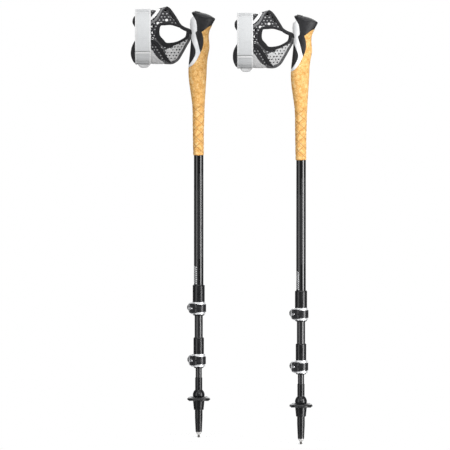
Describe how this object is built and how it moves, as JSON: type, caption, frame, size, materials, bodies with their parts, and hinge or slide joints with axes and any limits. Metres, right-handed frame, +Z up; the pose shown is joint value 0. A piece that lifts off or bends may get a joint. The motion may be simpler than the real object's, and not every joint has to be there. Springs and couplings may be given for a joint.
{
  "type": "trekking poles",
  "caption": "Pair of telescoping trekking poles with cork grips, clip-in thumb-loop straps, lever clamps, screw-on baskets and hard-metal points.",
  "frame": {"origin": "the end of the left pole's hard-metal point, on that pole's axis", "axes": "+Z up along the shafts, -X towards the strap side of both grips, +Y away from a viewer who sees the straps on the left; the right pole stands beside the left one at +X"},
  "size_m": [0.3103, 0.1887, 0.7219],
  "materials": {
    "cork": "fine ground cork, matt",
    "grip_rubber": "soft black",
    "white_plastic": "white moulded plastic",
    "black_plastic": "fine moulded black plastic",
    "black_lacquer": "gloss black lacquer on aluminium tube",
    "clamp_silver": "satin silver",
    "steel": "plated steel",
    "tip_steel": "bare steel holder and hard-metal point",
    "strap_binding": "black woven cord and edge binding",
    "strap_mesh": "black spacer mesh",
    "grey_webbing": "woven grey webbing with lighter edges"
  },
  "bodies": {
    "left_upper_shaft": {"left_cork_grip": "cork", "left_grip_cap": "grip_rubber", "left_trigger_frame": "white_plastic", "left_rear_pad": "grip_rubber", "left_grip_core": "black_plastic", "left_upper_tube": "black_lacquer", "left_upper_clamp_sleeve": "black_plastic", "left_upper_clamp_band": "clamp_silver", "left_upper_barrel_nut": "steel", "left_catch_spring": "steel"},
    "left_button": {"left_release_button": "grip_rubber", "left_catch_plunger": "black_plastic"},
    "left_upper_lever": {"left_upper_clamp_lever": "black_plastic"},
    "left_upper_screw": {"left_upper_tension_screw": "black_plastic"},
    "left_middle_shaft": {"left_middle_tube": "black_lacquer", "left_middle_guide_plug": "black_plastic", "left_lower_clamp_sleeve": "black_plastic", "left_lower_clamp_band": "clamp_silver", "left_lower_barrel_nut": "steel"},
    "left_lower_lever": {"left_lower_clamp_lever": "black_plastic"},
    "left_lower_screw": {"left_lower_tension_screw": "black_plastic"},
    "left_lower_shaft": {"left_lower_tube": "black_lacquer", "left_lower_guide_plug": "black_plastic", "left_flex_tip": "black_plastic", "left_carbide_tip": "tip_steel"},
    "left_basket_body": {"left_basket": "black_plastic"},
    "left_cord": {"left_strap_loop": "strap_binding"},
    "left_strap": {"left_thumb_web": "strap_mesh", "left_wrist_band": "grey_webbing"},
    "left_flap": {"left_closure_flap": "grey_webbing"},
    "right_upper_shaft": {"right_cork_grip": "cork", "right_grip_cap": "grip_rubber", "right_trigger_frame": "white_plastic", "right_rear_pad": "grip_rubber", "right_grip_core": "black_plastic", "right_upper_tube": "black_lacquer", "right_upper_clamp_sleeve": "black_plastic", "right_upper_clamp_band": "clamp_silver", "right_upper_barrel_nut": "steel", "right_catch_spring": "steel"},
    "right_button": {"right_release_button": "grip_rubber", "right_catch_plunger": "black_plastic"},
    "right_upper_lever": {"right_upper_clamp_lever": "black_plastic"},
    "right_upper_screw": {"right_upper_tension_screw": "black_plastic"},
    "right_middle_shaft": {"right_middle_tube": "black_lacquer", "right_middle_guide_plug": "black_plastic", "right_lower_clamp_sleeve": "black_plastic", "right_lower_clamp_band": "clamp_silver", "right_lower_barrel_nut": "steel"},
    "right_lower_lever": {"right_lower_clamp_lever": "black_plastic"},
    "right_lower_screw": {"right_lower_tension_screw": "black_plastic"},
    "right_lower_shaft": {"right_lower_tube": "black_lacquer", "right_lower_guide_plug": "black_plastic", "right_flex_tip": "black_plastic", "right_carbide_tip": "tip_steel"},
    "right_basket_body": {"right_basket": "black_plastic"},
    "right_cord": {"right_strap_loop": "strap_binding"},
    "right_strap": {"right_thumb_web": "strap_mesh", "right_wrist_band": "grey_webbing"},
    "right_flap": {"right_closure_flap": "grey_webbing"}
  },
  "joints": [
    {"name": "left_button_press", "type": "slide", "parent": "left_upper_shaft", "child": "left_button", "axis": [0, 0, -1], "range_m": [0, 0.0046], "stiffness_N_per_m": 600, "springref_m": -0.002, "deforming": ["left_catch_spring"]},
    {"name": "left_upper_lever_open", "type": "hinge", "parent": "left_upper_shaft", "child": "left_upper_lever", "pos_m": [-0.0122, -0.0083, 0.218], "axis": [0, 0, -1], "range_deg": [0, 120]},
    {"name": "left_upper_screw_turn", "type": "hinge", "parent": "left_upper_shaft", "child": "left_upper_screw", "pos_m": [-0.0122, 0.0105, 0.218], "axis": [0, 1, 0], "continuous": true},
    {"name": "left_middle_section_slide", "type": "slide", "parent": "left_upper_shaft", "child": "left_middle_shaft", "axis": [0, 0, -1], "range_m": [-0.033, 0.3]},
    {"name": "left_lower_lever_open", "type": "hinge", "parent": "left_middle_shaft", "child": "left_lower_lever", "pos_m": [-0.0118, -0.0083, 0.1299], "axis": [0, 0, -1], "range_deg": [0, 120]},
    {"name": "left_lower_screw_turn", "type": "hinge", "parent": "left_middle_shaft", "child": "left_lower_screw", "pos_m": [-0.0118, 0.0105, 0.1299], "axis": [0, 1, 0], "continuous": true},
    {"name": "left_lower_section_slide", "type": "slide", "parent": "left_middle_shaft", "child": "left_lower_shaft", "axis": [0, 0, -1], "range_m": [-0.014, 0.31]},
    {"name": "left_basket_turn", "type": "hinge", "parent": "left_lower_shaft", "child": "left_basket_body", "pos_m": [0, 0, 0.06], "axis": [0, 0, -1], "range_deg": [0, 360]},
    {"name": "left_strap_swing", "type": "hinge", "parent": "left_upper_shaft", "child": "left_cord", "pos_m": [-0.0098, 0, 0.6835], "axis": [0, 0, 1], "range_deg": [-20, 20]},
    {"name": "left_strap_lift", "type": "hinge", "parent": "left_cord", "child": "left_strap", "pos_m": [-0.0148, 0, 0.6835], "axis": [0, 1, 0], "range_deg": [-10, 25]},
    {"name": "left_flap_open", "type": "hinge", "parent": "left_strap", "child": "left_flap", "pos_m": [-0.0939, -0.01009, 0.7173], "axis": [-1, 0, 0], "range_deg": [0, 100]},
    {"name": "right_pole_apart", "type": "slide", "parent": "left_upper_shaft", "child": "right_upper_shaft", "axis": [1, 0, 0], "range_m": [0, 0.1]},
    {"name": "right_button_press", "type": "slide", "parent": "right_upper_shaft", "child": "right_button", "axis": [0, 0, -1], "range_m": [0, 0.0046], "stiffness_N_per_m": 600, "springref_m": -0.002, "deforming": ["right_catch_spring"]},
    {"name": "right_upper_lever_open", "type": "hinge", "parent": "right_upper_shaft", "child": "right_upper_lever", "pos_m": [0.1588, -0.1353, 0.218], "axis": [0, 0, -1], "range_deg": [0, 120]},
    {"name": "right_upper_screw_turn", "type": "hinge", "parent": "right_upper_shaft", "child": "right_upper_screw", "pos_m": [0.1588, -0.1165, 0.218], "axis": [0, 1, 0], "continuous": true},
    {"name": "right_middle_section_slide", "type": "slide", "parent": "right_upper_shaft", "child": "right_middle_shaft", "axis": [0, 0, -1], "range_m": [-0.033, 0.3]},
    {"name": "right_lower_lever_open", "type": "hinge", "parent": "right_middle_shaft", "child": "right_lower_lever", "pos_m": [0.1592, -0.1353, 0.1299], "axis": [0, 0, -1], "range_deg": [0, 120]},
    {"name": "right_lower_screw_turn", "type": "hinge", "parent": "right_middle_shaft", "child": "right_lower_screw", "pos_m": [0.1592, -0.1165, 0.1299], "axis": [0, 1, 0], "continuous": true},
    {"name": "right_lower_section_slide", "type": "slide", "parent": "right_middle_shaft", "child": "right_lower_shaft", "axis": [0, 0, -1], "range_m": [-0.014, 0.31]},
    {"name": "right_basket_turn", "type": "hinge", "parent": "right_lower_shaft", "child": "right_basket_body", "pos_m": [0.171, -0.127, 0.06], "axis": [0, 0, -1], "range_deg": [0, 360]},
    {"name": "right_strap_swing", "type": "hinge", "parent": "right_upper_shaft", "child": "right_cord", "pos_m": [0.1612, -0.127, 0.6835], "axis": [0, 0, 1], "range_deg": [-20, 20]},
    {"name": "right_strap_lift", "type": "hinge", "parent": "right_cord", "child": "right_strap", "pos_m": [0.1562, -0.127, 0.6835], "axis": [0, 1, 0], "range_deg": [-10, 25]},
    {"name": "right_flap_open", "type": "hinge", "parent": "right_strap", "child": "right_flap", "pos_m": [0.0771, -0.13709, 0.7173], "axis": [-1, 0, 0], "range_deg": [0, 100]}
  ]
}
